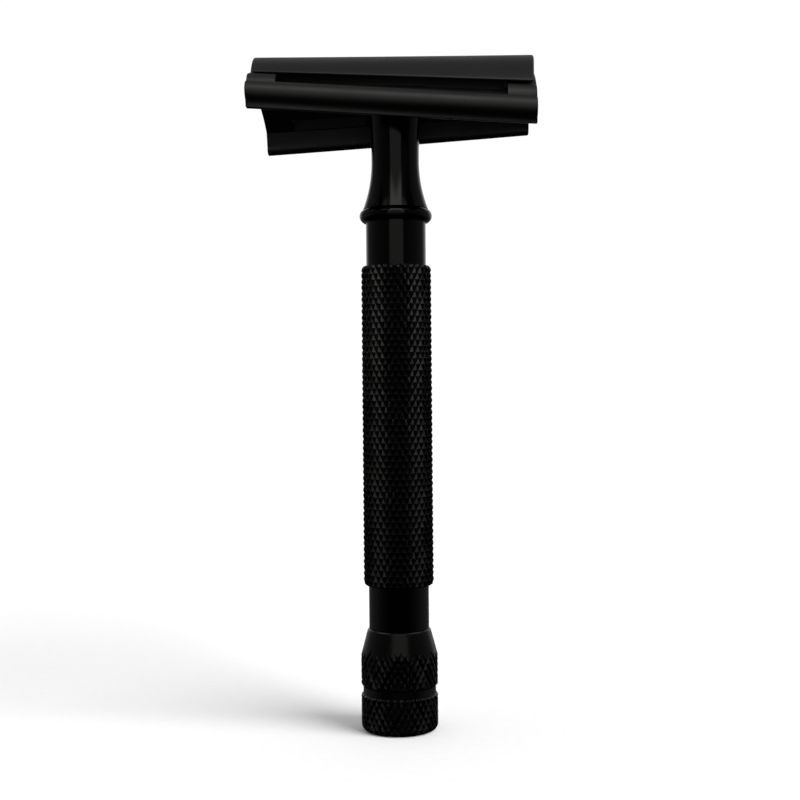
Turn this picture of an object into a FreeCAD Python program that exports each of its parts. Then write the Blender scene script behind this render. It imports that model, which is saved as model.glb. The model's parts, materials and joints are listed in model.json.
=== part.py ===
import FreeCAD, Part
import math
import os
from types import SimpleNamespace

import Sketcher
from FreeCAD import Placement, Rotation, Vector

# A two-piece double-edge safety razor with a slanted head. The head's cross-section turns steadily
# about the X axis along its length, so that the blade it clamps is twisted. The knob at the foot of
# the handle turns a rod inside it, whose socket draws the cap's threaded stud down.
# Millimetres and degrees. Z runs up the handle from the knob's flat foot, and X runs along the head.

SIZES = [
    # knob
    ("knob_radius", 5.70, "crest of the knob's two knurled bands"),
    ("knob_foot_round", 1.00, "rounding at the knob's foot"),
    ("knob_groove_low", 5.25, "lower lip of the groove between the bands"),
    ("knob_groove_floor_low", 5.45, "lower edge of that groove's floor"),
    ("knob_groove_floor_high", 6.55, "upper edge of that floor"),
    ("knob_groove_high", 6.90, "upper lip of the groove"),
    ("knob_groove_radius", 5.40, "floor of the groove"),
    ("knob_band_top", 11.10, "top of the upper band"),
    ("knob_top", 15.07, "top rim of the knob"),
    ("knob_rim_radius", 4.64, "outer radius of that rim"),
    ("knob_recess_radius", 3.30, "screw recess in the foot"),
    ("knob_recess_depth", 2.00, "depth of the screw recess"),
    ("knob_cup_radius", 3.90, "cup in the knob's top, for the washers"),
    ("knob_cup_floor", 13.20, "floor of that cup"),
    ("rod_seat_floor", 3.20, "where the rod's end stands in the knob"),
    # handle
    ("tube_radius", 4.45, "handle tube, outside"),
    ("tube_bore", 3.05, "handle tube, inside"),
    ("tube_foot", 15.17, "lower end of the tube"),
    ("tube_top", 77.30, "upper end of the tube"),
    ("tube_counterbore", 3.80, "wider bore at the top, for the neck"),
    ("tube_counterbore_floor", 70.80, "floor of the wider bore"),
    ("grip_radius", 5.23, "crest of the knurled grip"),
    ("grip_foot", 21.50, "lower end of the grip"),
    ("grip_top", 68.90, "upper end of the grip"),
    ("grip_chamfer_rise", 0.80, "height of the grip's end chamfers"),
    ("grip_chamfer_run", 0.45, "depth of the grip's end chamfers"),
    ("collar_foot", 75.40, "lower side of the half-round collar ring"),
    ("collar_top", 77.30, "upper side of the collar ring"),
    ("collar_edge_radius", 4.80, "outer radius of the ring's two flat sides"),
    ("collar_bend", 1.05, "radius of the ring's half-round face"),
    # neck
    ("neck_foot", 77.40, "shoulder that stands on the collar ring"),
    ("neck_foot_radius", 4.85, "radius of that shoulder"),
    ("neck_lower_bend", 19.80, "radius of the flare below the waist"),
    ("neck_waist_radius", 3.54, "waist of the neck"),
    ("neck_waist", 84.90, "height of the waist"),
    ("neck_upper_bend", 46.00, "radius of the flare above the waist"),
    ("neck_shoulder", 92.40, "where the neck meets the base plate's boss"),
    ("neck_shoulder_radius", 4.12, "radius there"),
    ("neck_spigot_radius", 3.30, "spigot in the base plate"),
    ("neck_spigot_top", 95.60, "top of the spigot"),
    ("neck_socket_top", 79.60, "top of the wide bore that the stud socket turns in"),
    ("stud_clearance", 2.60, "bore that the stud passes through"),
    # drive
    ("rod_radius", 2.00, "drive rod"),
    ("rod_top", 64.00, "upper end of the drive rod"),
    ("socket_radius", 3.00, "stud socket, outside"),
    ("socket_foot", 60.50, "lower end of the stud socket"),
    ("socket_top", 79.00, "upper end of the stud socket"),
    ("socket_bore", 2.55, "thread bore of the socket, plain at the thread's major radius"),
    ("socket_bore_floor", 69.60, "floor of the thread bore"),
    ("bush_bore", 2.05, "bore of both rod bushes"),
    ("lower_bush_top", 21.20, "top of the lower bush"),
    ("stop_bush_foot", 56.20, "foot of the upper bush, which stops the socket"),
    ("stop_bush_top", 60.20, "top of the upper bush"),
    ("cross_pin_radius", 0.50, "cross pin that locks the socket to the rod"),
    ("cross_pin_length", 5.80, "length of the cross pin"),
    ("cross_pin_height", 62.30, "height of the cross pin"),
    ("washer_radius", 3.70, "thrust washer and disc spring, outside"),
    ("washer_bore", 2.15, "thrust washer and disc spring, inside"),
    ("washer_thickness", 0.50, "thrust washer"),
    ("spring_thickness", 0.30, "disc spring"),
    ("spring_rise", 1.07, "height of the disc spring's cone"),
    ("screw_head_radius", 2.70, "knob screw's head"),
    ("screw_head_foot", 0.50, "lower side of the screw's head"),
    ("screw_radius", 1.25, "knob screw's shank"),
    ("screw_tip", 9.60, "upper end of the knob screw"),
    ("screw_hole", 1.40, "hole in the knob's foot for the screw"),
    ("screw_slot_flats", 2.00, "hexagon socket in the screw's head, across its flats"),
    ("screw_slot_depth", 1.00, "depth of the hexagon socket"),
    # head
    ("head_axis", 94.00, "height of the axis that the head twists about"),
    ("plate_length", 41.00, "base plate, end to end"),
    ("plate_twist", 7.15, "turn of each end of the base plate, degrees"),
    ("bed_radius", 18.00, "curve of the blade bed"),
    ("bed_edge_out", 9.40, "outer edge of the bed at the end lands"),
    ("bed_edge_up", 0.60, "height of that edge over the axis"),
    ("land_round", 1.90, "rounding of the end lands, from the bed down to the safety bar"),
    ("bead_out", 11.15, "centre line of the safety bar's bead"),
    ("bead_down", 2.67, "drop of that line under the axis"),
    ("bead_radius", 1.54, "radius of the bead"),
    ("crease_out", 12.00, "crease under the bead"),
    ("crease_down", 3.95, "drop of the crease"),
    ("skirt_bend", 1.20, "hollow of the skirt under the crease"),
    ("skirt_out", 11.40, "outer lower edge of the skirt"),
    ("skirt_down", 4.90, "drop of that edge"),
    ("lip_round", 0.10, "rounding at the foot of the skirt"),
    ("lip_land_out", 10.80, "inner edge of the skirt's foot"),
    ("lip_inner_round", 0.90, "rounding inside the skirt's foot"),
    ("arch_edge_out", 8.90, "outer edge of the arched underside"),
    ("arch_edge_down", 2.14, "drop of that edge"),
    ("arch_radius", 22.80, "curve of the underside"),
    ("trough_length", 32.80, "open trough between the end lands"),
    ("trough_inner_out", 6.00, "inner wall of the trough and of the lather slots"),
    ("trough_inner_up", 0.45, "floor of the trough at that wall"),
    ("trough_middle_down", 0.20, "drop of the floor over the slots' outer wall"),
    ("trough_outer_down", 1.15, "drop of the floor where it meets the bead"),
    ("slot_outer_out", 8.50, "outer wall of the lather slots"),
    ("slot_near", 4.70, "end of each lather slot beside the neck"),
    ("slot_far", 16.00, "far end of each lather slot"),
    ("plate_boss_radius", 4.60, "foot of the base plate's round boss"),
    ("plate_boss_bend", 1.60, "flare of that boss"),
    ("plate_boss_top", 93.70, "height at which the boss is lost in the plate"),
    ("cap_length", 40.90, "cap, end to end along its middle"),
    ("cap_corner", 20.00, "half the cap's length at its corners"),
    ("cap_corner_out", 10.50, "how far out its bowed ends are drawn"),
    ("cap_end_radius", 110.50, "bow of the cap's ends, seen from above"),
    ("cap_twist", 6.32, "turn of each end of the cap, degrees"),
    ("cap_edge_out", 9.80, "edge of the cap"),
    ("cap_edge_up", 1.06, "height of that edge over the axis"),
    ("cap_radius", 12.50, "crown of the cap"),
    ("cap_lip_out", 9.66, "lower side of the cap's edge"),
    ("cap_lip_up", 0.86, "height of the lower side of the edge"),
    ("cap_lip_round", 0.14, "rounding of the cap's edge"),
    ("cap_hollow_radius", 19.10, "hollow underside of the cap"),
    ("stud_radius", 2.50, "threaded stud, at the thread's major radius"),
    ("stud_tip", 70.60, "lower end of the stud"),
    ("stud_tip_chamfer", 0.40, "chamfer at that end"),
    ("stud_shoulder", 97.25, "upper end of the stud's full radius"),
    ("stud_spigot_radius", 2.00, "spigot of the stud in the cap"),
    ("stud_spigot_top", 98.90, "top of that spigot"),
    ("pin_radius", 1.70, "locating pins"),
    ("pin_offset", 13.00, "locating pins, distance from the handle's axis"),
    ("pin_tip", 94.60, "lower end of the locating pins"),
    ("pin_tip_chamfer", 0.35, "chamfer at that end"),
    ("pin_shoulder", 97.25, "upper end of the pins' full radius"),
    ("pin_spigot_radius", 1.20, "spigot of each pin in the cap"),
    ("pin_spigot_top", 98.80, "top of that spigot"),
    ("pin_clearance", 1.80, "holes in the base plate for the pins"),
    ("cut_margin", 6.00, "how far a cut runs past the solid that it cuts"),
]

doc = FreeCAD.newDocument("safety_razor")


class Size:
    """A length as a number, for the first drawing, and as the sheet expression that then drives it."""

    def __init__(self, value, text):
        self.value = value
        self.text = text

    def __add__(self, other):
        return Size(self.value + other.value, f"({self.text} + {other.text})")

    def __sub__(self, other):
        return Size(self.value - other.value, f"({self.text} - {other.text})")

    def __mul__(self, other):
        return Size(self.value * other.value, f"({self.text} * {other.text})")

    def __truediv__(self, other):
        return Size(self.value / other.value, f"({self.text} / {other.text})")

    def __neg__(self):
        return Size(-self.value, f"(-{self.text})")


ZERO = Size(0.0, "0")


def fill_sheet():
    """The spreadsheet of driving sizes, and the same sizes by name for the functions below."""
    sheet = doc.addObject("Spreadsheet::Sheet", "sizes")
    named = {}
    for row, (alias, value, meaning) in enumerate(SIZES, start=1):
        sheet.set(f"A{row}", alias)
        sheet.set(f"B{row}", str(value))
        sheet.setAlias(f"B{row}", alias)
        sheet.set(f"C{row}", meaning)
        named[alias] = Size(value, f"sizes.{alias}")
    doc.recompute()
    return SimpleNamespace(**named)


size = fill_sheet()


# ---- sketches ----------------------------------------------------------------------------------

def new_body(label):
    body = doc.addObject("PartDesign::Body", label)
    body.Label = label
    return body


def sketch_on(body, role, name):
    """An empty sketch on one of the body's own origin planes."""
    sketch = body.newObject("Sketcher::SketchObject", name)
    plane = next(item for item in body.Origin.OriginFeatures if item.Role == role)
    sketch.AttachmentSupport = (plane, [""])
    sketch.MapMode = "FlatFace"
    return sketch


def arc_between(start, end, radius, side):
    """The shorter arc from start to end, bulging left (1) or right (-1) of the way between them."""
    chord = end - start
    left = Vector(-chord.y, chord.x, 0).normalize()
    centre = (start + end) * 0.5 - left * (side * math.sqrt(radius ** 2 - chord.Length ** 2 / 4))
    turns = [math.atan2(point.y - centre.y, point.x - centre.x) for point in (start, end)]
    if side > 0:
        turns.reverse()
    return Part.ArcOfCircle(Part.Circle(centre, Vector(0, 0, 1), radius), *turns)


def drive(sketch, kind, edge, corner, length):
    """Tie one coordinate of a corner to the sheet, or to the sketch's axis where it is zero."""
    if length.value == 0:
        axis = -2 if kind == "DistanceX" else -1
        sketch.addConstraint(Sketcher.Constraint("PointOnObject", edge, corner, axis))
        return
    index = sketch.addConstraint(Sketcher.Constraint(kind, -1, 1, edge, corner, length.value))
    sketch.setExpression(f"Constraints[{index}]", length.text)


def outline(sketch, points):
    """A closed outline. A point is (x, y), or (x, y, (radius, side)) where an arc leaves it."""
    corners = [Vector(point[0].value, point[1].value, 0) for point in points]
    count = len(points)
    first = []
    for index, point in enumerate(points):
        start = corners[index]
        end = corners[(index + 1) % count]
        if len(point) == 3 and point[2]:
            radius, side = point[2]
            sketch.addGeometry(arc_between(start, end, radius.value, side))
            first.append(2 if side > 0 else 1)
        else:
            sketch.addGeometry(Part.LineSegment(start, end))
            first.append(1)
    for index in range(count):
        after = (index + 1) % count
        sketch.addConstraint(Sketcher.Constraint("Coincident", index, 3 - first[index], after, first[after]))
    for index, point in enumerate(points):
        drive(sketch, "DistanceX", index, first[index], point[0])
        drive(sketch, "DistanceY", index, first[index], point[1])
        if len(point) == 3 and point[2]:
            radius = point[2][0]
            tie = sketch.addConstraint(Sketcher.Constraint("Radius", index, radius.value))
            sketch.setExpression(f"Constraints[{tie}]", radius.text)


def box_outline(low_x, low_y, high_x, high_y):
    return [(low_x, low_y), (high_x, low_y), (high_x, high_y), (low_x, high_y)]


def both_halves(half, top_bend):
    """A closed outline from its right half, listed from the top down, with its mirror image."""
    bends = [point[2] if len(point) == 3 else None for point in half]
    mirror = []
    for index in reversed(range(len(half))):
        bend = bends[index - 1] if index else top_bend
        mirror.append((-half[index][0], half[index][1], bend))
    return list(half) + mirror


# ---- features ----------------------------------------------------------------------------------

def turn(body, kind, name, points):
    """Turn an outline of radius and height about the Z axis, adding to the body or cutting it."""
    sketch = sketch_on(body, "XZ_Plane", f"{name}_outline")
    outline(sketch, points)
    feature = body.newObject(kind, name)
    feature.Profile = sketch
    feature.ReferenceAxis = (sketch, ["V_Axis"])
    feature.Angle = 360
    return feature


def turned_body(label, points):
    body = new_body(label)
    turn(body, "PartDesign::Revolution", f"{label}_turned", points)
    return body


def twisted_loft(body, kind, name, points, length, twist):
    """Carry an outline along the head, turning it in step with X from one end to the other."""
    sections = []
    for station in (-1, 0, 1):
        sketch = sketch_on(body, "YZ_Plane", f"{name}_section_{station + 1}")
        outline(sketch, points)
        sketch.AttachmentOffset = Placement(
            Vector(0, size.head_axis.value, station * length.value / 2),
            Rotation(Vector(0, 0, 1), station * twist.value),
        )
        sketch.setExpression("AttachmentOffset.Base.y", size.head_axis.text)
        if station:
            sketch.setExpression("AttachmentOffset.Base.z", f"{station} * {length.text} / 2")
            sketch.setExpression("AttachmentOffset.Rotation.Angle", f"{station} * {twist.text}")
        sections.append(sketch)
    loft = body.newObject(kind, name)
    loft.Profile = sections[0]
    loft.Sections = sections[1:]
    loft.Ruled = False
    return loft


def pocket_through(body, name, draw):
    """Cut straight through the body along Z with whatever draw puts in the sketch."""
    sketch = sketch_on(body, "XY_Plane", f"{name}_outline")
    draw(sketch)
    pocket = body.newObject("PartDesign::Pocket", name)
    pocket.Profile = sketch
    pocket.Type = "ThroughAll"
    pocket.Midplane = True
    return pocket


def circle(sketch, centre_x, radius):
    """A circle centred on the sketch's X axis."""
    edge = sketch.addGeometry(Part.Circle(Vector(centre_x.value, 0, 0), Vector(0, 0, 1), radius.value))
    drive(sketch, "DistanceX", edge, 3, centre_x)
    drive(sketch, "DistanceY", edge, 3, ZERO)
    tie = sketch.addConstraint(Sketcher.Constraint("Radius", edge, radius.value))
    sketch.setExpression(f"Constraints[{tie}]", radius.text)


# ---- head --------------------------------------------------------------------------------------

def plate_section():
    """Full section of the base plate: bed, end land, bead, crease, skirt and arched underside."""
    foot = -(size.skirt_down + size.lip_round)
    half = [
        (size.bed_edge_out, size.bed_edge_up, (size.land_round, 1)),
        (size.bead_out, size.bead_radius - size.bead_down, (size.bead_radius, 1)),
        (size.crease_out, -size.crease_down, (size.skirt_bend, -1)),
        (size.skirt_out, -size.skirt_down, (size.lip_round, 1)),
        (size.skirt_out - size.lip_round, foot),
        (size.lip_land_out, foot, (size.lip_inner_round, 1)),
        (size.lip_land_out - size.lip_inner_round, foot + size.lip_inner_round),
        (size.arch_edge_out, -size.arch_edge_down, (size.arch_radius, -1)),
    ]
    return both_halves(half, (size.bed_radius, 1))


def trough_section(side):
    """What the trough behind one safety bar takes out of the plate's section."""
    inner = size.trough_inner_out
    outer = size.bead_out
    points = [
        (inner, size.trough_inner_up),
        (size.slot_outer_out, -size.trough_middle_down),
        (outer, -size.trough_outer_down),
        (outer, size.cut_margin),
        (inner, size.cut_margin),
    ]
    if side > 0:
        return points
    return [(-x, y) for x, y in points]


def make_base_plate():
    body = new_body("base_plate")
    twisted_loft(body, "PartDesign::AdditiveLoft", "plate_blank", plate_section(),
                 size.plate_length, size.plate_twist)
    turn(body, "PartDesign::Revolution", "plate_boss", [
        (ZERO, size.neck_shoulder),
        (size.neck_shoulder_radius, size.neck_shoulder, (size.plate_boss_bend, 1)),
        (size.plate_boss_radius, size.plate_boss_top),
        (ZERO, size.plate_boss_top),
    ])
    above = size.head_axis + size.cut_margin
    turn(body, "PartDesign::Groove", "plate_bore", [
        (ZERO, size.neck_waist),
        (size.neck_spigot_radius, size.neck_waist),
        (size.neck_spigot_radius, size.neck_spigot_top),
        (size.stud_clearance, size.neck_spigot_top),
        (size.stud_clearance, above),
        (ZERO, above),
    ])
    share = size.trough_length / size.plate_length
    for side, name in ((-1, "front_trough"), (1, "rear_trough")):
        twisted_loft(body, "PartDesign::SubtractiveLoft", name, trough_section(side),
                     size.trough_length, size.plate_twist * share)
    for x_side in (-1, 1):
        for y_side in (-1, 1):
            x_near = size.slot_near if x_side > 0 else -size.slot_far
            x_far = size.slot_far if x_side > 0 else -size.slot_near
            y_near = size.trough_inner_out if y_side > 0 else -size.slot_outer_out
            y_far = size.slot_outer_out if y_side > 0 else -size.trough_inner_out
            rectangle = box_outline(x_near, y_near, x_far, y_far)
            name = f"lather_slot_{x_side + 1}{y_side + 1}"
            pocket_through(body, name, lambda sketch, shape=rectangle: outline(sketch, shape))
    for offset, name in ((-size.pin_offset, "left_pin_hole"), (size.pin_offset, "right_pin_hole")):
        pocket_through(body, name, lambda sketch, x=offset: circle(sketch, x, size.pin_clearance))
    return body


def cap_section():
    half = [
        (size.cap_edge_out, size.cap_edge_up, (size.cap_lip_round, 1)),
        (size.cap_lip_out, size.cap_lip_up, (size.cap_hollow_radius, -1)),
    ]
    return both_halves(half, (size.cap_radius, 1))


def bow_cap_end(body, end, name):
    """Trim one end of the cap, 1 or -1 along X, to a wide arc as seen from above."""
    corner = size.cap_corner if end > 0 else -size.cap_corner
    beyond = size.cap_corner + size.cut_margin if end > 0 else -(size.cap_corner + size.cut_margin)
    near = -size.cap_corner_out if end > 0 else size.cap_corner_out
    points = [
        (corner, near, (size.cap_end_radius, -1)),
        (corner, -near),
        (beyond, -near),
        (beyond, near),
    ]
    pocket_through(body, name, lambda sketch: outline(sketch, points))


def make_cap():
    body = new_body("cap")
    twisted_loft(body, "PartDesign::AdditiveLoft", "cap_blank", cap_section(),
                 size.cap_length, size.cap_twist)
    bow_cap_end(body, -1, "left_end")
    bow_cap_end(body, 1, "right_end")
    turn(body, "PartDesign::Groove", "stud_seat", [
        (ZERO, size.neck_spigot_top),
        (size.stud_spigot_radius, size.neck_spigot_top),
        (size.stud_spigot_radius, size.stud_spigot_top),
        (ZERO, size.stud_spigot_top),
    ])
    for offset, name in ((-size.pin_offset, "left_pin_seat"), (size.pin_offset, "right_pin_seat")):
        sketch = sketch_on(body, "XY_Plane", f"{name}_outline")
        circle(sketch, offset, size.pin_spigot_radius)
        pocket = body.newObject("PartDesign::Pocket", name)
        pocket.Profile = sketch
        pocket.Type = "Length"
        pocket.Reversed = True
        pocket.setExpression("Length", size.pin_spigot_top.text)
    return body


def make_cap_stud():
    tip_radius = size.stud_radius - size.stud_tip_chamfer
    return turned_body("cap_stud", [
        (ZERO, size.stud_tip),
        (tip_radius, size.stud_tip),
        (size.stud_radius, size.stud_tip + size.stud_tip_chamfer),
        (size.stud_radius, size.stud_shoulder),
        (size.stud_spigot_radius, size.stud_shoulder),
        (size.stud_spigot_radius, size.stud_spigot_top),
        (ZERO, size.stud_spigot_top),
    ])


def make_locating_pin(label, offset):
    tip_radius = size.pin_radius - size.pin_tip_chamfer
    body = turned_body(label, [
        (ZERO, size.pin_tip),
        (tip_radius, size.pin_tip),
        (size.pin_radius, size.pin_tip + size.pin_tip_chamfer),
        (size.pin_radius, size.pin_shoulder),
        (size.pin_spigot_radius, size.pin_shoulder),
        (size.pin_spigot_radius, size.pin_spigot_top),
        (ZERO, size.pin_spigot_top),
    ])
    body.Placement = Placement(Vector(offset.value, 0, 0), Rotation())
    body.setExpression("Placement.Base.x", offset.text)
    return body


# ---- handle ------------------------------------------------------------------------------------

def make_neck():
    return turned_body("neck", [
        (size.tube_bore, size.tube_counterbore_floor),
        (size.tube_counterbore, size.tube_counterbore_floor),
        (size.tube_counterbore, size.neck_foot),
        (size.neck_foot_radius, size.neck_foot, (size.neck_lower_bend, 1)),
        (size.neck_waist_radius, size.neck_waist, (size.neck_upper_bend, 1)),
        (size.neck_shoulder_radius, size.neck_shoulder),
        (size.neck_spigot_radius, size.neck_shoulder),
        (size.neck_spigot_radius, size.neck_spigot_top),
        (size.stud_clearance, size.neck_spigot_top),
        (size.stud_clearance, size.neck_socket_top),
        (size.tube_bore, size.neck_socket_top),
    ])


def make_collar_ring():
    return turned_body("collar_ring", [
        (size.tube_radius, size.collar_foot),
        (size.collar_edge_radius, size.collar_foot, (size.collar_bend, -1)),
        (size.collar_edge_radius, size.collar_top),
        (size.tube_radius, size.collar_top),
    ])


def make_handle_tube():
    return turned_body("handle_tube", [
        (size.tube_bore, size.tube_foot),
        (size.tube_radius, size.tube_foot),
        (size.tube_radius, size.tube_top),
        (size.tube_counterbore, size.tube_top),
        (size.tube_counterbore, size.tube_counterbore_floor),
        (size.tube_bore, size.tube_counterbore_floor),
    ])


def make_grip_sleeve():
    end_radius = size.grip_radius - size.grip_chamfer_run
    return turned_body("grip_sleeve", [
        (size.tube_radius, size.grip_foot),
        (end_radius, size.grip_foot),
        (size.grip_radius, size.grip_foot + size.grip_chamfer_rise),
        (size.grip_radius, size.grip_top - size.grip_chamfer_rise),
        (end_radius, size.grip_top),
        (size.tube_radius, size.grip_top),
    ])


def make_bush(label, foot, top):
    return turned_body(label, box_outline(size.bush_bore, foot, size.tube_bore, top))


# ---- drive -------------------------------------------------------------------------------------

def make_knob():
    foot_radius = size.knob_radius - size.knob_foot_round
    return turned_body("knob", [
        (size.knob_recess_radius, ZERO),
        (foot_radius, ZERO, (size.knob_foot_round, -1)),
        (size.knob_radius, size.knob_foot_round),
        (size.knob_radius, size.knob_groove_low),
        (size.knob_groove_radius, size.knob_groove_floor_low),
        (size.knob_groove_radius, size.knob_groove_floor_high),
        (size.knob_radius, size.knob_groove_high),
        (size.knob_radius, size.knob_band_top),
        (size.knob_rim_radius, size.knob_top),
        (size.knob_cup_radius, size.knob_top),
        (size.knob_cup_radius, size.knob_cup_floor),
        (size.rod_radius, size.knob_cup_floor),
        (size.rod_radius, size.rod_seat_floor),
        (size.screw_hole, size.rod_seat_floor),
        (size.screw_hole, size.knob_recess_depth),
        (size.knob_recess_radius, size.knob_recess_depth),
    ])


def make_drive_rod():
    body = turned_body("drive_rod", [
        (size.screw_radius, size.rod_seat_floor),
        (size.rod_radius, size.rod_seat_floor),
        (size.rod_radius, size.rod_top),
        (ZERO, size.rod_top),
        (ZERO, size.screw_tip),
        (size.screw_radius, size.screw_tip),
    ])
    cross_hole(body, "rod_cross_hole")
    return body


def make_stud_socket():
    body = turned_body("stud_socket", [
        (size.rod_radius, size.socket_foot),
        (size.socket_radius, size.socket_foot),
        (size.socket_radius, size.socket_top),
        (size.socket_bore, size.socket_top),
        (size.socket_bore, size.socket_bore_floor),
        (ZERO, size.socket_bore_floor),
        (ZERO, size.rod_top),
        (size.rod_radius, size.rod_top),
    ])
    cross_hole(body, "socket_cross_hole")
    return body


def cross_circle(sketch):
    """The cross pin's section, seen along X, on the YZ plane."""
    edge = sketch.addGeometry(
        Part.Circle(Vector(0, size.cross_pin_height.value, 0), Vector(0, 0, 1), size.cross_pin_radius.value)
    )
    drive(sketch, "DistanceX", edge, 3, ZERO)
    drive(sketch, "DistanceY", edge, 3, size.cross_pin_height)
    tie = sketch.addConstraint(Sketcher.Constraint("Radius", edge, size.cross_pin_radius.value))
    sketch.setExpression(f"Constraints[{tie}]", size.cross_pin_radius.text)


def cross_hole(body, name):
    sketch = sketch_on(body, "YZ_Plane", f"{name}_outline")
    cross_circle(sketch)
    pocket = body.newObject("PartDesign::Pocket", name)
    pocket.Profile = sketch
    pocket.Type = "ThroughAll"
    pocket.Midplane = True


def make_socket_pin():
    body = new_body("socket_pin")
    sketch = sketch_on(body, "YZ_Plane", "socket_pin_outline")
    cross_circle(sketch)
    pad = body.newObject("PartDesign::Pad", "socket_pin_pad")
    pad.Profile = sketch
    pad.Midplane = True
    pad.setExpression("Length", size.cross_pin_length.text)
    return body


def make_thrust_washer():
    top = size.knob_top
    return turned_body("thrust_washer",
                       box_outline(size.washer_bore, top - size.washer_thickness, size.washer_radius, top))


def make_disc_spring():
    """A coned washer that stands on its outer rim in the knob's cup."""
    foot = size.knob_cup_floor
    return turned_body("disc_spring", [
        (size.washer_bore, foot + size.spring_rise),
        (size.washer_radius, foot),
        (size.washer_radius, foot + size.spring_thickness),
        (size.washer_bore, foot + size.spring_rise + size.spring_thickness),
    ])


def make_knob_screw():
    body = turned_body("knob_screw", [
        (ZERO, size.screw_head_foot),
        (size.screw_head_radius, size.screw_head_foot),
        (size.screw_head_radius, size.knob_recess_depth),
        (size.screw_radius, size.knob_recess_depth),
        (size.screw_radius, size.screw_tip),
        (ZERO, size.screw_tip),
    ])
    sketch = sketch_on(body, "XY_Plane", "screw_drive_outline")
    sixth = math.radians(60)
    reach = size.screw_slot_flats.value / math.sqrt(3)
    corners = [Vector(reach * math.cos(n * sixth), reach * math.sin(n * sixth), 0) for n in range(6)]
    for index, corner in enumerate(corners):
        sketch.addGeometry(Part.LineSegment(corner, corners[(index + 1) % 6]))
    for index in range(6):
        sketch.addConstraint(Sketcher.Constraint("Coincident", index, 2, (index + 1) % 6, 1))
    ring = sketch.addGeometry(Part.Circle(Vector(0, 0, 0), Vector(0, 0, 1), reach), True)
    sketch.addConstraint(Sketcher.Constraint("Coincident", ring, 3, -1, 1))
    for index in range(6):
        sketch.addConstraint(Sketcher.Constraint("PointOnObject", index, 1, ring))
    for index in range(5):
        sketch.addConstraint(Sketcher.Constraint("Equal", index, index + 1))
    sketch.addConstraint(Sketcher.Constraint("PointOnObject", 0, 1, -1))
    tie = sketch.addConstraint(Sketcher.Constraint("Radius", ring, reach))
    sketch.setExpression(f"Constraints[{tie}]", f"{size.screw_slot_flats.text} / sqrt(3)")
    pocket = body.newObject("PartDesign::Pocket", "screw_drive")
    pocket.Profile = sketch
    pocket.Type = "Length"
    pocket.Reversed = True
    pocket.setExpression("Length", f"{size.screw_head_foot.text} + {size.screw_slot_depth.text}")
    return body


# ---- the whole razor ---------------------------------------------------------------------------

def make_razor():
    return [
        make_base_plate(),
        make_cap(),
        make_cap_stud(),
        make_locating_pin("locating_pin_left", -size.pin_offset),
        make_locating_pin("locating_pin_right", size.pin_offset),
        make_neck(),
        make_collar_ring(),
        make_handle_tube(),
        make_grip_sleeve(),
        make_bush("lower_bush", size.tube_foot, size.lower_bush_top),
        make_bush("stop_bush", size.stop_bush_foot, size.stop_bush_top),
        make_knob(),
        make_drive_rod(),
        make_stud_socket(),
        make_socket_pin(),
        make_thrust_washer(),
        make_disc_spring(),
        make_knob_screw(),
    ]


def check(bodies):
    """Stop on any failed object, and on any body that isn't one valid closed solid."""
    for item in doc.Objects:
        if "Invalid" in item.State or "Error" in item.State:
            raise RuntimeError(f"{item.Name} failed: {item.State}")
    for body in bodies:
        shape = body.Shape
        if shape.isNull() or not shape.isValid() or len(shape.Solids) != 1:
            raise RuntimeError(f"{body.Label} is not one valid solid")


def write(bodies):
    os.makedirs("parts", exist_ok=True)
    for body in bodies:
        body.Shape.exportStep(f"parts/{body.Label}.step")
        print(f"{body.Label}: {body.Shape.Volume:.1f} mm3")


razor = make_razor()
doc.recompute()
check(razor)
write(razor)
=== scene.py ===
import json
import math

import bmesh
import bpy
import numpy as np
from mathutils import Matrix, Vector


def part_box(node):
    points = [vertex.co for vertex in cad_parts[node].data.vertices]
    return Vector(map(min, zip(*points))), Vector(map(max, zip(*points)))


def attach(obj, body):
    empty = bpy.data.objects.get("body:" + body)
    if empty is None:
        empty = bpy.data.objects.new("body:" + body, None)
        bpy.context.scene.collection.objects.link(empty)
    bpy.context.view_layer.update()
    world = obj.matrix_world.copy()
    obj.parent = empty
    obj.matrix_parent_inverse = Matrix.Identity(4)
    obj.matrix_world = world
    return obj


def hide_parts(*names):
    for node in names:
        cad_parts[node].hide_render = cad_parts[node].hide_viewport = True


# The looks of a black double-edge safety razor with a slanted head. Lengths are millimetres and are
# scaled to Blender's metres by MM. The sizes of the turned parts come from the CAD frame.

MM = 0.001
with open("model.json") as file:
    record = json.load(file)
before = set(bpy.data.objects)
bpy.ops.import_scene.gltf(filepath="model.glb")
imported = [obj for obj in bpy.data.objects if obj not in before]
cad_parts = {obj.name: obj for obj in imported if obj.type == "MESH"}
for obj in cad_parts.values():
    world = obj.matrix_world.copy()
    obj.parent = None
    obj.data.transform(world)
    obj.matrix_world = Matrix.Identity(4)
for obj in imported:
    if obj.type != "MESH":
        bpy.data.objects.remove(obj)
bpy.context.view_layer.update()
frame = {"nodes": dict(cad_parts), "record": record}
rng = np.random.default_rng(11)

# Edges sharper than these angles stay sharp in the shading, in degrees.
CAD_SHARP = 28
KNURL_SHARP = 15
THREAD_SHARP = 40
HEAD_SHARP = 30
FLAT_SHARP = 30


# ---- meshes ------------------------------------------------------------------------------------

def size_of(node):
    """(outside radius, foot, top) of a turned CAD node, in millimetres."""
    low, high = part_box(node)
    return high.x / MM, low.z / MM, high.z / MM


def mesh_object(name, points, faces, smooth_angle):
    """A mesh from points in millimetres, shaded smooth except over edges sharper than the angle."""
    mesh = bpy.data.meshes.new(name)
    mesh.from_pydata((np.asarray(points) * MM).tolist(), [], faces)
    mesh.validate()
    mesh.shade_smooth()
    mesh.set_sharp_from_angle(angle=math.radians(smooth_angle))
    made = bpy.data.objects.new(name, mesh)
    bpy.context.scene.collection.objects.link(made)
    return made


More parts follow.
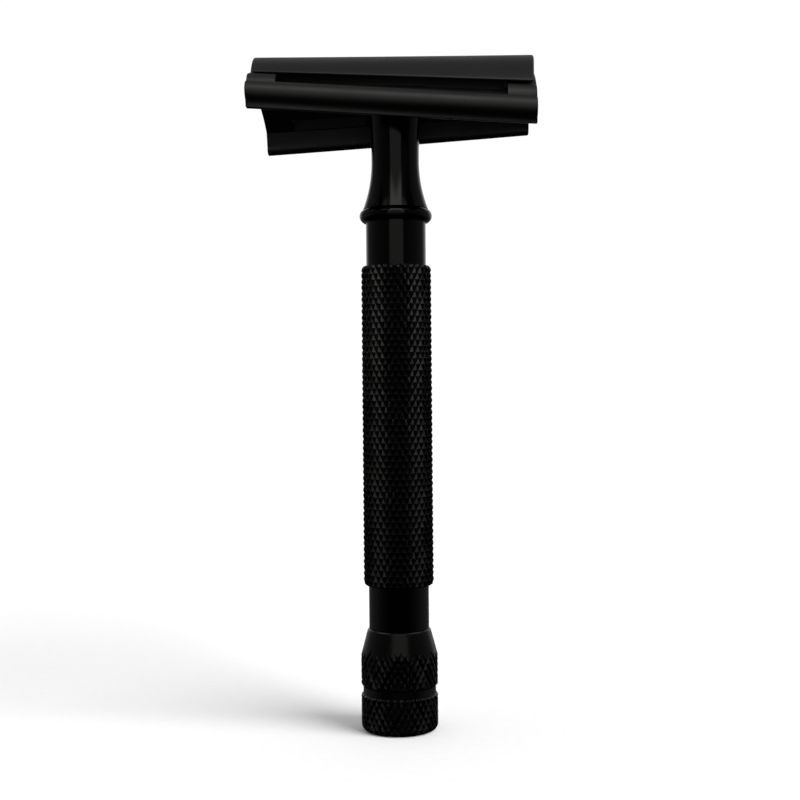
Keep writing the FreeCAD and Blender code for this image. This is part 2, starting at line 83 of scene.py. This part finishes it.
def place(made, node, body, material):
    """Let a new piece stand for a CAD node and ride on its body."""
    made.data.materials.append(material)
    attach(made, body)
    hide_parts(node)
    return made


def wave(phase, depths):
    """Height over a family of V-grooves: 0 in each groove at a whole phase, 1 halfway between."""
    groove = np.floor(phase + 0.5).astype(int) % len(depths)
    rise = np.abs(2.0 * (phase + 0.5 - np.floor(phase + 0.5)) - 1.0)
    return 1.0 - depths[groove] * (1.0 - rise)


def turned(name, radii, heights, columns, smooth_angle, relief=None, steps=0, closed=True):
    """Turn an outline about the Z axis, into a ring if it is closed and a capped solid if not.
    relief(angle, height) is a radius that the surface may not pass. Where steps is given, a knurl
    starts at the outline's second point, a groove crosses half a pitch in that many grid squares,
    and each square is split along the groove through it."""
    angles = np.arange(columns) * 2 * math.pi / columns
    radii = np.asarray(radii, float)
    heights = np.asarray(heights, float)
    grid = np.repeat(radii[:, None], columns, axis=1)
    if relief is not None:
        grid = np.minimum(grid, relief(angles[None, :], heights[:, None]))
    x = grid * np.cos(angles)
    y = grid * np.sin(angles)
    z = np.repeat(heights[:, None], columns, axis=1)
    points = np.stack([x, y, z], axis=-1).reshape(-1, 3)
    rows = len(radii)
    faces = []
    for row in range(rows if closed else rows - 1):
        above = (row + 1) % rows
        for column in range(columns):
            beside = (column + 1) % columns
            low, low_beside = row * columns + column, row * columns + beside
            high, high_beside = above * columns + column, above * columns + beside
            if not steps or above == 0:
                faces.append((low, low_beside, high_beside, high))
            elif ((row - 1) // steps + column // steps) % 2 == 0:
                faces.append((low, low_beside, high_beside))
                faces.append((low, high_beside, high))
            else:
                faces.append((low, low_beside, high))
                faces.append((low_beside, high_beside, high))
    if not closed:
        faces.append(tuple(reversed(range(columns))))
        faces.append(tuple(range((rows - 1) * columns, rows * columns)))
    return mesh_object(name, points, faces, smooth_angle)


def grid_heights(low, high, step, corners=()):
    """Heights from low to high a step apart, the nearest of them moved to each corner's height."""
    count = int(math.floor((high - low) / step - 1e-6))
    heights = [low + step * index for index in range(count + 1)] + [high]
    for corner in corners:
        nearest = min(range(1, count + 1), key=lambda index: abs(heights[index] - corner))
        heights[nearest] = corner
    return heights


# ---- materials ---------------------------------------------------------------------------------

class Nodes:
    """Short calls for building a node tree."""

    def __init__(self, owner):
        owner.use_nodes = True
        self.tree = owner.node_tree

    def add(self, kind, **settings):
        node = self.tree.nodes.new(kind)
        for key, value in settings.items():
            setattr(node, key, value)
        return node

    def link(self, out, into):
        self.tree.links.new(out, into)

    def ramp(self, value, start, stop, low, high, shape="LINEAR"):
        """Carry a value from the range start to stop to the range low to high."""
        made = self.add("ShaderNodeMapRange", interpolation_type=shape)
        made.inputs["From Min"].default_value = start
        made.inputs["From Max"].default_value = stop
        made.inputs["To Min"].default_value = low
        made.inputs["To Max"].default_value = high
        self.link(value, made.inputs["Value"])
        return made.outputs["Result"]

    def math(self, operation, *values):
        made = self.add("ShaderNodeMath", operation=operation)
        for value, socket in zip(values, made.inputs):
            self.link(value, socket)
        return made.outputs["Value"]

    def product(self, first, second):
        return self.math("MULTIPLY", first, second)

    def noise(self, scale, detail=3.0, roughness=0.6):
        """Noise in object coordinates; scale is periods a metre along X, Y and Z."""
        where = self.add("ShaderNodeTexCoord")
        stretch = self.add("ShaderNodeMapping")
        stretch.inputs["Scale"].default_value = scale
        self.link(where.outputs["Object"], stretch.inputs["Vector"])
        made = self.add("ShaderNodeTexNoise")
        made.inputs["Scale"].default_value = 1.0
        made.inputs["Detail"].default_value = detail
        made.inputs["Roughness"].default_value = roughness
        self.link(stretch.outputs["Vector"], made.inputs["Vector"])
        return made.outputs["Fac"]

    def colours(self, value, low, high, start=0.3, stop=0.7):
        made = self.add("ShaderNodeValToRGB")
        made.color_ramp.elements[0].position = start
        made.color_ramp.elements[0].color = (*low, 1.0)
        made.color_ramp.elements[1].position = stop
        made.color_ramp.elements[1].color = (*high, 1.0)
        self.link(value, made.inputs["Fac"])
        return made.outputs["Color"]

    def bump(self, height, depth):
        """Relief of so many millimetres."""
        made = self.add("ShaderNodeBump")
        made.inputs["Distance"].default_value = depth * MM
        self.link(height, made.inputs["Height"])
        return made.outputs["Normal"]


def coated(name, low, high, gloss, grain_scale, grain_depth, metal=0.0, ior=1.5):
    """A finish with cloudy colour and gloss and a fine grain; grain_scale is periods a metre."""
    material = bpy.data.materials.new(name)
    nodes = Nodes(material)
    shader = nodes.tree.nodes["Principled BSDF"]
    clouds = nodes.noise((150.0, 150.0, 150.0))
    nodes.link(nodes.colours(clouds, low, high), shader.inputs["Base Color"])
    nodes.link(nodes.ramp(clouds, 0.3, 0.7, *gloss), shader.inputs["Roughness"])
    grain = nodes.noise(grain_scale, detail=2.0)
    nodes.link(nodes.bump(grain, grain_depth), shader.inputs["Normal"])
    shader.inputs["Metallic"].default_value = metal
    shader.inputs["IOR"].default_value = ior
    return material


SATIN_LOW = (0.0060, 0.0060, 0.0056)
SATIN_HIGH = (0.0100, 0.0100, 0.0094)
BLACK_LOW = (0.0010, 0.0010, 0.0009)
BLACK_HIGH = (0.0030, 0.0030, 0.0027)

satin_black = coated("satin_black", SATIN_LOW, SATIN_HIGH, (0.44, 0.52),
                     (700.0, 2600.0, 2600.0), 0.004, ior=2.0)
turned_black = coated("turned_black", BLACK_LOW, BLACK_HIGH, (0.10, 0.17),
                      (150.0, 150.0, 6000.0), 0.0008)
knurled_black = coated("knurled_black", BLACK_LOW, BLACK_HIGH, (0.16, 0.34),
                       (3500.0,) * 3, 0.020, ior=1.57)
screw_black = coated("screw_black", BLACK_LOW, BLACK_HIGH, (0.30, 0.45), (3000.0,) * 3, 0.004)
bright_steel = coated("bright_steel", (0.42, 0.41, 0.39), (0.60, 0.59, 0.57), (0.18, 0.32),
                      (400.0, 400.0, 5000.0), 0.003, metal=1.0)
dull_brass = coated("dull_brass", (0.52, 0.34, 0.12), (0.74, 0.54, 0.24), (0.25, 0.42),
                    (400.0, 400.0, 5000.0), 0.003, metal=1.0)

FINISHES = {
    "head_black": satin_black,
    "neck_black": turned_black,
    "handle_black": turned_black,
    "grip_black": knurled_black,
    "stud_steel": bright_steel,
    "bush_brass": dull_brass,
    "rod_steel": bright_steel,
    "screw_black": screw_black,
}


def finish_cad_nodes():
    """Give each CAD node the finish of its slot in the record."""
    for part in frame["record"]["subparts"]:
        made = frame["nodes"][part["node"]]
        made.data.materials.clear()
        made.data.materials.append(FINISHES[part["material_slot"]])
        made.data.shade_smooth()
        made.data.set_sharp_from_angle(angle=math.radians(CAD_SHARP))


# ---- knurled and threaded pieces ---------------------------------------------------------------
# A knurl has so many grooves each way round its piece. A pitch is the height from one crest to the
# next, and a crest is flat above its share of the grooves' rise. A pair is a (radius, height).

GRIP_COLUMNS = 30
GRIP_PITCH = 1.77
GRIP_DEPTH = 0.33
GRIP_STEPS = 4
GRIP_CREST = 0.86
GRIP_UNEVENNESS = 0.10
GRIP_BORE_GAP = 0.02
GRIP_END_RISE = 0.80
GRIP_END_RUN = 0.45

KNOB_COLUMNS = 34
KNOB_PITCH = 1.74
KNOB_DEPTH = 0.24
KNOB_STEPS = 5
KNOB_CREST = 0.60
KNOB_UNEVENNESS = 0.30
KNOB_FOOT_ROUND = 1.00
KNOB_GROOVE_HEIGHTS = (5.25, 5.45, 6.55, 6.90)
KNOB_GROOVE_RADIUS = 5.40
KNOB_BAND_TOP = 11.10
KNOB_RIM_RADIUS = 4.64
KNOB_RIM_ROUND = 0.30
KNOB_RIM_SHARES = (0.38, 0.70, 0.92, 1.0)
KNOB_CUP = (3.90, 13.20)
KNOB_ROD_SEAT = (2.00, 3.20)
KNOB_SCREW_HOLE = (1.40, 2.00)
KNOB_RECESS_RADIUS = 3.30


def knurl(crest, foot, columns, pitch, depth, share, depths):
    """The radius of a diamond-knurled cylinder, as a function of angle and height. Its crests are
    flat above the given share of the grooves' rise."""
    def relief(angle, height):
        turn = angle * columns / (2 * math.pi)
        rise = (height - foot) / pitch
        hill = np.minimum(wave(turn + rise, depths[0]), wave(turn - rise, depths[1]))
        return crest - depth * (1.0 - np.minimum(hill / share, 1.0))
    return relief


def make_grip():
    crest, foot, top = size_of("grip_sleeve")
    bore = size_of("handle_tube")[0] + GRIP_BORE_GAP
    heights = grid_heights(foot, top, GRIP_PITCH / 2 / GRIP_STEPS)
    end = np.minimum(np.array(heights) - foot, top - np.array(heights))
    cut = np.clip(1.0 - end / GRIP_END_RISE, 0.0, 1.0)
    radii = crest - GRIP_END_RUN * (1.0 - np.sqrt(1.0 - cut ** 2))
    depths = 1.0 + GRIP_UNEVENNESS * rng.uniform(-1.0, 1.0, (2, GRIP_COLUMNS))
    relief = knurl(crest, foot, GRIP_COLUMNS, GRIP_PITCH, GRIP_DEPTH, GRIP_CREST, depths)
    made = turned("knurled_grip", [bore, *radii, bore], [foot, *heights, top],
                  GRIP_COLUMNS * 2 * GRIP_STEPS, KNURL_SHARP, relief, GRIP_STEPS)
    return place(made, "grip_sleeve", "handle_body", knurled_black)


def knob_radius(height, crest, top):
    """The knob's outer radius without its knurl."""
    radius = crest
    if height < KNOB_FOOT_ROUND:
        drop = min(KNOB_FOOT_ROUND, KNOB_FOOT_ROUND - height)
        radius = crest - KNOB_FOOT_ROUND + math.sqrt(KNOB_FOOT_ROUND ** 2 - drop ** 2)
    groove = (crest, KNOB_GROOVE_RADIUS, KNOB_GROOVE_RADIUS, crest)
    radius = min(radius, np.interp(height, KNOB_GROOVE_HEIGHTS, groove))
    if height > KNOB_BAND_TOP:
        share = (height - KNOB_BAND_TOP) / (top - KNOB_BAND_TOP)
        radius = crest + (KNOB_RIM_RADIUS - crest) * share
    rise = np.clip(1.0 - (top - height) / KNOB_RIM_ROUND, 0.0, 1.0)
    return radius - KNOB_RIM_ROUND * (1.0 - math.sqrt(1.0 - rise ** 2))


def knob_inside(top):
    """The (radius, height) corners of the knob's bore, from its mouth down to the screw's recess."""
    return [
        (KNOB_CUP[0], top),
        KNOB_CUP,
        (KNOB_ROD_SEAT[0], KNOB_CUP[1]),
        KNOB_ROD_SEAT,
        (KNOB_SCREW_HOLE[0], KNOB_ROD_SEAT[1]),
        KNOB_SCREW_HOLE,
        (KNOB_RECESS_RADIUS, KNOB_SCREW_HOLE[1]),
    ]


def make_knob():
    crest, foot, top = size_of("knob")
    corners = [*KNOB_GROOVE_HEIGHTS, KNOB_BAND_TOP]
    heights = grid_heights(foot, top - KNOB_RIM_ROUND, KNOB_PITCH / 2 / KNOB_STEPS, corners)
    heights += [top - KNOB_RIM_ROUND * (1.0 - share) for share in KNOB_RIM_SHARES]
    radii = [knob_radius(height, crest, top) for height in heights]
    inside = knob_inside(top)
    depths = 1.0 + KNOB_UNEVENNESS * rng.uniform(-1.0, 1.0, (2, KNOB_COLUMNS))
    relief = knurl(crest, foot, KNOB_COLUMNS, KNOB_PITCH, KNOB_DEPTH, KNOB_CREST, depths)
    made = turned(
        "knurled_knob",
        [KNOB_RECESS_RADIUS, *radii, *(radius for radius, height in inside)],
        [foot, *heights, *(height for radius, height in inside)],
        KNOB_COLUMNS * 2 * KNOB_STEPS, KNURL_SHARP, relief, KNOB_STEPS,
    )
    return place(made, "knob", "knob_body", knurled_black)


THREAD_PITCH = 0.80
THREAD_DEPTH = 0.43
THREAD_TOP = 95.60
THREAD_COLUMNS = 48
THREAD_ROWS = 8
THREAD_FLATS = (1.15, 1.30)
STUD_CHAMFER = 0.40
STUD_SPIGOT = (2.00, 97.25)


def make_stud():
    """The cap's stud, with a real M5 thread up to just under the cap."""
    crest, tip, top = size_of("cap_stud")
    plain, shoulder = STUD_SPIGOT

    def relief(angle, height):
        phase = height / THREAD_PITCH - angle / (2 * math.pi)
        rise = np.abs(2.0 * (phase - np.floor(phase)) - 1.0)
        fade = np.clip((THREAD_TOP - height) / THREAD_PITCH, 0.0, 1.0)
        return crest - THREAD_DEPTH * fade * np.clip(THREAD_FLATS[0] - THREAD_FLATS[1] * rise, 0.0, 1.0)

    heights = grid_heights(tip, THREAD_TOP, THREAD_PITCH / THREAD_ROWS)
    radii = [crest - max(0.0, STUD_CHAMFER - (height - tip)) for height in heights]
    made = turned(
        "threaded_stud",
        [*radii, crest, plain, plain],
        [*heights, shoulder, shoulder, top],
        THREAD_COLUMNS, THREAD_SHARP, relief, closed=False,
    )
    return place(made, "cap_stud", "cap_body", bright_steel)


# ---- head --------------------------------------------------------------------------------------
# A section is drawn in the plane across the head: how far out from the handle's axis, and how far
# up from the axis that the head twists about.

HEAD_AXIS = 94.0
PLATE_TWIST = 7.15
PLATE_END_ROUND = 0.20
PLATE_END_TURNS = (0, 18, 36, 54, 72)
PLATE_TRACE_STEP = 3
PLATE_WELD = 0.002
CAP_TWIST = 6.32
CAP_EDGE = (9.80, 1.06)
CAP_LIP = (9.66, 0.86)
CAP_LIP_ROUND = 0.14
CAP_CROWN = 12.50
CAP_HOLLOW = 19.10
CAP_END_ROUND = 0.25
CAP_LIP_END_ROUND = 0.12
CAP_END_BOW = 110.50
CAP_END_EASE = 0.05
CAP_STATIONS = 48
CAP_END_TURNS = (90, 70, 50, 30, 15)
CAP_LIP_FACES = 5
CAP_CROWN_FACES = 56

PLATE_HALF = [
    (9.40, 0.60, (1.90, 1)),
    (11.15, -1.13, (1.54, 1)),
    (12.00, -3.95, (1.20, -1)),
    (11.40, -4.90, (0.10, 1)),
    (11.30, -5.00, None),
    (10.80, -5.00, (0.90, 1)),
    (9.90, -4.10, None),
    (8.90, -2.14, (22.80, -1)),
]
PLATE_BED = (18.00, 1)


def both_halves(half, top_bend):
    """A closed section from its right half, listed from the top down, with its mirror image."""
    bends = [bend for out, up, bend in half]
    mirror = []
    for index in reversed(range(len(half))):
        bend = bends[index - 1] if index else top_bend
        mirror.append((-half[index][0], half[index][1], bend))
    return half + mirror


def arc_points(start, end, radius, side, count):
    """Points from start up to end, which is left out, on the arc that bulges left (1) or right (-1)."""
    chord = end - start
    left = Vector((-chord.y, chord.x)).normalized()
    centre = (start + end) / 2 - left * (side * math.sqrt(radius ** 2 - chord.length ** 2 / 4))
    first = math.atan2(start.y - centre.y, start.x - centre.x)
    turn = -side * 2 * math.asin(chord.length / 2 / radius)
    angles = [first + turn * index / count for index in range(count)]
    return [(centre.x + radius * math.cos(angle), centre.y + radius * math.sin(angle)) for angle in angles]


def trace(section, degrees):
    """Points round a closed section, with an arc's points at most so many degrees apart."""
    points = []
    for index, (out, up, bend) in enumerate(section):
        start = Vector((out, up))
        end = Vector(section[(index + 1) % len(section)][:2])
        if bend is None:
            points.append((out, up))
            continue
        radius, side = bend
        turn = math.degrees(2 * math.asin((end - start).length / 2 / radius))
        points += arc_points(start, end, radius, side, math.ceil(turn / degrees))
    return np.array(points)


def outward(points):
    """The outward direction at each point of a section listed clockwise, lengthened at corners so
    that a step along it is a parallel offset."""
    before = points - np.roll(points, 1, axis=0)
    after = np.roll(points, -1, axis=0) - points
    before /= np.linalg.norm(before, axis=1)[:, None]
    after /= np.linalg.norm(after, axis=1)[:, None]
    mean = before + after
    mean /= np.linalg.norm(mean, axis=1)[:, None]
    lean = np.sum(mean * after, axis=1)[:, None]
    return np.stack([-mean[:, 1], mean[:, 0]], axis=1) / lean


def twist(along, section, half_length, degrees):
    """Carry points of a section to their place along the head, turned in step with X."""
    turn = np.radians(degrees) * along / half_length
    out, up = section[..., 0], section[..., 1]
    y = out * np.cos(turn) - up * np.sin(turn)
    z = HEAD_AXIS + out * np.sin(turn) + up * np.cos(turn)
    return np.stack([along, y, z], axis=-1)


def flatten_ends(made):
    """Shade the end faces flat, so that the rounding beside them doesn't bend their shading."""
    for face in made.data.polygons:
        if abs(face.normal.x) > 0.99:
            face.use_smooth = False


def cap_outline():
    """The cap's section: right lip, hollow, left lip and crown, with evenly split arcs."""
    section = both_halves([(*CAP_EDGE, (CAP_LIP_ROUND, 1)), (*CAP_LIP, (CAP_HOLLOW, -1))], (CAP_CROWN, 1))
    counts = (CAP_LIP_FACES, CAP_CROWN_FACES, CAP_LIP_FACES, CAP_CROWN_FACES)
    points = []
    for index, count in enumerate(counts):
        start, end = Vector(section[index][:2]), Vector(section[(index + 1) % 4][:2])
        points += arc_points(start, end, *section[index][2], count)
    return np.array(points)


def cap_rows(points, half_length):
    """Pairs of places along the head and outlines there, from the left end to the right. The ends
    are bowed, and their rounding is smaller at the lips."""
    normals = outward(points)
    nearness = np.abs(points[:, 0] / CAP_EDGE[0]) ** 6
    rounding = CAP_END_ROUND + (CAP_LIP_END_ROUND - CAP_END_ROUND) * nearness
    bow = CAP_END_BOW - np.sqrt(CAP_END_BOW ** 2 - points[:, 0] ** 2)
    reach = np.minimum(half_length + CAP_END_EASE - bow, half_length)
    rounded = []
    for turn in np.radians(CAP_END_TURNS):
        inset = rounding * (1 - math.cos(turn))
        rounded.append((reach - rounding * (1 - math.sin(turn)), points - normals * inset[:, None]))
    stations = np.linspace(-1, 1, CAP_STATIONS)
    middle = [((reach - rounding) * station, points) for station in stations]
    return [(-along, shape) for along, shape in rounded] + middle + rounded[::-1]


def cap_side_faces(rows, count):
    """Faces between each two outlines of count points."""
    faces = []
    for row in range(rows - 1):
        for column in range(count):
            beside = (column + 1) % count
            faces.append((row * count + column, (row + 1) * count + column,
                          (row + 1) * count + beside, row * count + beside))
    return faces


def cap_end_faces(rows, count):
    """Faces that close both ends: one for each lip, and a ladder of them from hollow to crown."""
    far_lip = CAP_LIP_FACES + CAP_CROWN_FACES
    faces = []
    for base, flip in ((0, False), ((rows - 1) * count, True)):
        ends = [tuple(range(lip, lip + CAP_LIP_FACES + 1)) for lip in (0, far_lip)]
        for rung in range(CAP_CROWN_FACES):
            under = CAP_LIP_FACES + rung
            over = (count - rung) % count
            ends.append((over, under, under + 1, count - rung - 1))
        for face in ends:
            face = tuple(base + corner for corner in face)
            faces.append(tuple(reversed(face)) if flip else face)
    return faces


def make_cap():
    """The cap, with bowed ends and every end edge rounded."""
    half_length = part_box("cap")[1].x / MM
    points = cap_outline()
    rows = cap_rows(points, half_length)
    grid = np.array([twist(along, shape, half_length, CAP_TWIST) for along, shape in rows])
    faces = cap_side_faces(len(rows), len(points)) + cap_end_faces(len(rows), len(points))
    made = mesh_object("slanted_cap", grid.reshape(-1, 3), faces, HEAD_SHARP)
    flatten_ends(made)
    return place(made, "cap", "cap_body", satin_black)


def cut_ends(shape, start):
    """Cut rows of edges into the plate's last stretch at each end, for its rounding."""
    for turn in np.radians(PLATE_END_TURNS):
        for end in (-1, 1):
            along = end * (start + PLATE_END_ROUND * math.sin(turn)) * MM
            everything = shape.verts[:] + shape.edges[:] + shape.faces[:]
            bmesh.ops.bisect_plane(shape, geom=everything, plane_co=(along, 0, 0), plane_no=(1, 0, 0))


def round_ends(shape, half_length, start):
    """Draw the outline in towards each end of the plate, along a quarter circle."""
    outline = trace(both_halves(PLATE_HALF, PLATE_BED), PLATE_TRACE_STEP)
    normals = outward(outline)
    for vert in shape.verts:
        x, y, z = vert.co / MM
        rise = min((abs(x) - start) / PLATE_END_ROUND, 1.0)
        if rise > 0.001:
            turn = math.radians(PLATE_TWIST) * x / half_length
            out = y * math.cos(turn) + (z - HEAD_AXIS) * math.sin(turn)
            up = (z - HEAD_AXIS) * math.cos(turn) - y * math.sin(turn)
            nearest = np.argmin(np.hypot(outline[:, 0] - out, outline[:, 1] - up))
            inset = PLATE_END_ROUND * (1 - math.sqrt(1 - rise ** 2))
            moved = np.array((out, up)) - normals[nearest] * inset
            vert.co = Vector(twist(x, moved, half_length, PLATE_TWIST)) * MM


def make_plate():
    """The CAD base plate with the edges round its two ends rounded off."""
    half_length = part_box("base_plate")[1].x / MM
    start = half_length - PLATE_END_ROUND
    shape = bmesh.new()
    shape.from_mesh(frame["nodes"]["base_plate"].data)
    bmesh.ops.remove_doubles(shape, verts=shape.verts, dist=PLATE_WELD * MM)
    cut_ends(shape, start)
    round_ends(shape, half_length, start)
    shape.verts.index_update()
    points = [vert.co / MM for vert in shape.verts]
    faces = [[vert.index for vert in face.verts] for face in shape.faces]
    shape.free()
    made = mesh_object("slanted_plate", points, faces, HEAD_SHARP)
    flatten_ends(made)
    return place(made, "base_plate", "handle_body", satin_black)


# ---- studio ------------------------------------------------------------------------------------

PANEL_DISTANCE = 250.0
PANEL_MIDDLE = 22.0
PANEL_WIDTH = 246.0
FLOOR_HALF = 3000.0
BACKDROP_WHITE = 1.02

CAMERA_PLACE = (8.37, -191.37, 50.16)
CAMERA_TURN = 2.38
CAMERA_ROLL = 0.5
CAMERA_LENS = 57.81
CAMERA_SENSOR = 36.0
CAMERA_SHIFT_UP = -0.00985


def towards(azimuth, elevation):
    """The unit vector from the razor; azimuth 0 is in front of it, and 90 is to its right."""
    a = math.radians(azimuth)
    e = math.radians(elevation)
    return Vector((math.sin(a) * math.cos(e), -math.cos(a) * math.cos(e), math.sin(e)))


def make_panel(name, foot, top, radiance, step, dip):
    """An upright panel in front of the razor, which only shows in reflections. Its radiance goes from
    the first value to the second over the step in height, which lies lower at the panel's sides."""
    left, right = PANEL_MIDDLE - PANEL_WIDTH / 2, PANEL_MIDDLE + PANEL_WIDTH / 2
    corners = [(left, -PANEL_DISTANCE, foot), (left, -PANEL_DISTANCE, top),
               (right, -PANEL_DISTANCE, top), (right, -PANEL_DISTANCE, foot)]
    panel = mesh_object(name, corners, [(0, 1, 2, 3)], FLAT_SHARP)
    cloth = bpy.data.materials.new(name)
    nodes = Nodes(cloth)
    nodes.tree.nodes.clear()
    where = nodes.add("ShaderNodeTexCoord")
    parts = nodes.add("ShaderNodeSeparateXYZ")
    nodes.link(where.outputs["Object"], parts.inputs["Vector"])
    edge = nodes.math("ABSOLUTE", nodes.ramp(parts.outputs["X"], left * MM, right * MM, -1.0, 1.0))
    lift = nodes.ramp(edge, 0.0, 1.0, -dip * MM, dip * MM)
    raised = nodes.math("ADD", parts.outputs["Z"], lift)
    strength = nodes.ramp(raised, step[0] * MM, step[1] * MM, *radiance)
    glow = nodes.add("ShaderNodeEmission")
    glow.inputs["Color"].default_value = (1.0, 0.985, 0.94, 1.0)
    nodes.link(strength, glow.inputs["Strength"])
    output = nodes.add("ShaderNodeOutputMaterial")
    nodes.link(glow.outputs["Emission"], output.inputs["Surface"])
    panel.data.materials.append(cloth)
    panel.visible_camera = False
    panel.visible_shadow = False
    panel.visible_diffuse = False


def floor_light(name, azimuth, elevation, spread, irradiance, receivers):
    """A wide distant light that falls on the floor alone."""
    data = bpy.data.lights.new(name, "SUN")
    data.angle = math.radians(spread)
    data.energy = irradiance
    lamp = bpy.data.objects.new(name, data)
    bpy.context.scene.collection.objects.link(lamp)
    lamp.rotation_mode = "QUATERNION"
    lamp.rotation_quaternion = (-towards(azimuth, elevation)).to_track_quat("-Z", "Y")
    lamp.light_linking.receiver_collection = receivers


def make_floor():
    """A wide sheet of white paper; returns the collection that the floor's own lights fall on."""
    half = FLOOR_HALF
    corners = [(-half, -half, 0), (half, -half, 0), (half, half, 0), (-half, half, 0)]
    floor = mesh_object("floor", corners, [(0, 1, 2, 3)], FLAT_SHARP)
    paper = bpy.data.materials.new("floor_paper")
    nodes = Nodes(paper)
    shader = nodes.tree.nodes["Principled BSDF"]
    fibres = nodes.noise((600.0, 600.0, 600.0))
    nodes.link(nodes.colours(fibres, (0.79, 0.79, 0.79), (0.81, 0.81, 0.81)), shader.inputs["Base Color"])
    shader.inputs["Roughness"].default_value = 0.9
    shader.inputs["Specular IOR Level"].default_value = 0.0
    floor.data.materials.append(paper)
    floor.visible_glossy = False
    floor.visible_diffuse = False
    receivers = bpy.data.collections.new("lit_floor")
    receivers.objects.link(floor)
    return receivers


def room_light(nodes):
    """How bright the room is in each direction. Overhead it is darker in front than behind, with a
    lamp high up on each side. Below the horizon its sides, its back and a table in front are lit."""
    where = nodes.add("ShaderNodeTexCoord")
    parts = nodes.add("ShaderNodeSeparateXYZ")
    nodes.link(where.outputs["Generated"], parts.inputs["Vector"])
    back, rise = parts.outputs["Y"], parts.outputs["Z"]
    outwards = nodes.math("ABSOLUTE", parts.outputs["X"])
    dome = nodes.ramp(back, -0.8, 0.7, 0.03, 0.11)
    rear_glow = nodes.ramp(back, 0.6, 1.0, 0.0, 0.7)
    ceiling = nodes.math("ADD", dome, rear_glow)
    to_the_side = nodes.ramp(outwards, 0.30, 0.50, 0.0, 1.0)
    high_up = nodes.ramp(rise, 0.66, 0.76, 0.0, 0.60)
    side_lamps = nodes.product(to_the_side, high_up)
    overhead = nodes.math("ADD", ceiling, side_lamps)
    sides = nodes.ramp(back, -0.75, 0.10, 0.005, 0.09)
    behind = nodes.ramp(back, 0.90, 0.97, 1.0, 0.1)
    fall = nodes.ramp(rise, -0.50, -0.20, 0.04, 1.0)
    room_below = nodes.product(nodes.product(sides, behind), fall)
    in_front = nodes.ramp(back, -0.92, -0.66, 0.08, 0.0)
    well_below = nodes.ramp(rise, -0.38, -0.28, 1.0, 0.0)
    table = nodes.product(in_front, well_below)
    below = nodes.math("ADD", room_below, table)
    horizon = nodes.add("ShaderNodeMix", data_type="FLOAT")
    nodes.link(nodes.ramp(rise, -0.12, 0.0, 0.0, 1.0), horizon.inputs["Factor"])
    nodes.link(below, horizon.inputs["A"])
    nodes.link(overhead, horizon.inputs["B"])
    return horizon.outputs["Result"]


def make_world():
    """White behind everything, and a dim room for the razor to reflect."""
    world = bpy.data.worlds.new("studio")
    bpy.context.scene.world = world
    nodes = Nodes(world)
    nodes.tree.nodes.clear()
    room = nodes.add("ShaderNodeBackground")
    room.inputs["Color"].default_value = (1.0, 1.0, 1.0, 1.0)
    nodes.link(room_light(nodes), room.inputs["Strength"])
    backdrop = nodes.add("ShaderNodeBackground")
    backdrop.inputs["Color"].default_value = (1.0, 1.0, 1.0, 1.0)
    backdrop.inputs["Strength"].default_value = BACKDROP_WHITE
    rays = nodes.add("ShaderNodeLightPath")
    choose = nodes.add("ShaderNodeMixShader")
    nodes.link(rays.outputs["Is Camera Ray"], choose.inputs["Fac"])
    nodes.link(room.outputs["Background"], choose.inputs[1])
    nodes.link(backdrop.outputs["Background"], choose.inputs[2])
    output = nodes.add("ShaderNodeOutputWorld")
    nodes.link(choose.outputs["Shader"], output.inputs["Surface"])


def make_studio():
    make_world()
    receivers = make_floor()
    make_panel("front_softbox", 84, 560, (0.26, 0.90), (200, 290), 45)
    make_panel("front_table_glow", 14, 72, (0.11, 0.28), (14, 60), 0)
    floor_light("window", 58, 28, 47, 4.5, receivers)
    floor_light("fill", 0, 90, 170, 1.34, receivers)


def make_camera():
    """A camera level with the middle of the handle, turned and tilted a little."""
    data = bpy.data.cameras.new("camera")
    data.sensor_width = CAMERA_SENSOR
    data.lens = CAMERA_LENS
    data.shift_y = CAMERA_SHIFT_UP
    data.clip_start = 0.01
    data.clip_end = 20.0
    camera = bpy.data.objects.new("camera", data)
    bpy.context.scene.collection.objects.link(camera)
    turn = math.radians(CAMERA_TURN)
    roll = math.radians(CAMERA_ROLL)
    forward = Vector((-math.sin(turn), math.cos(turn), 0))
    level = Vector((math.cos(turn), math.sin(turn), 0))
    upright = Vector((0, 0, 1))
    right = level * math.cos(roll) - upright * math.sin(roll)
    up = level * math.sin(roll) + upright * math.cos(roll)
    axes = Matrix((right, up, -forward)).transposed()
    camera.matrix_world = Matrix.Translation(Vector(CAMERA_PLACE) * MM) @ axes.to_4x4()
    bpy.context.scene.camera = camera
    bpy.context.scene.view_settings.view_transform = "Standard"


finish_cad_nodes()
make_plate()
make_cap()
make_grip()
make_knob()
make_stud()
make_studio()
make_camera()
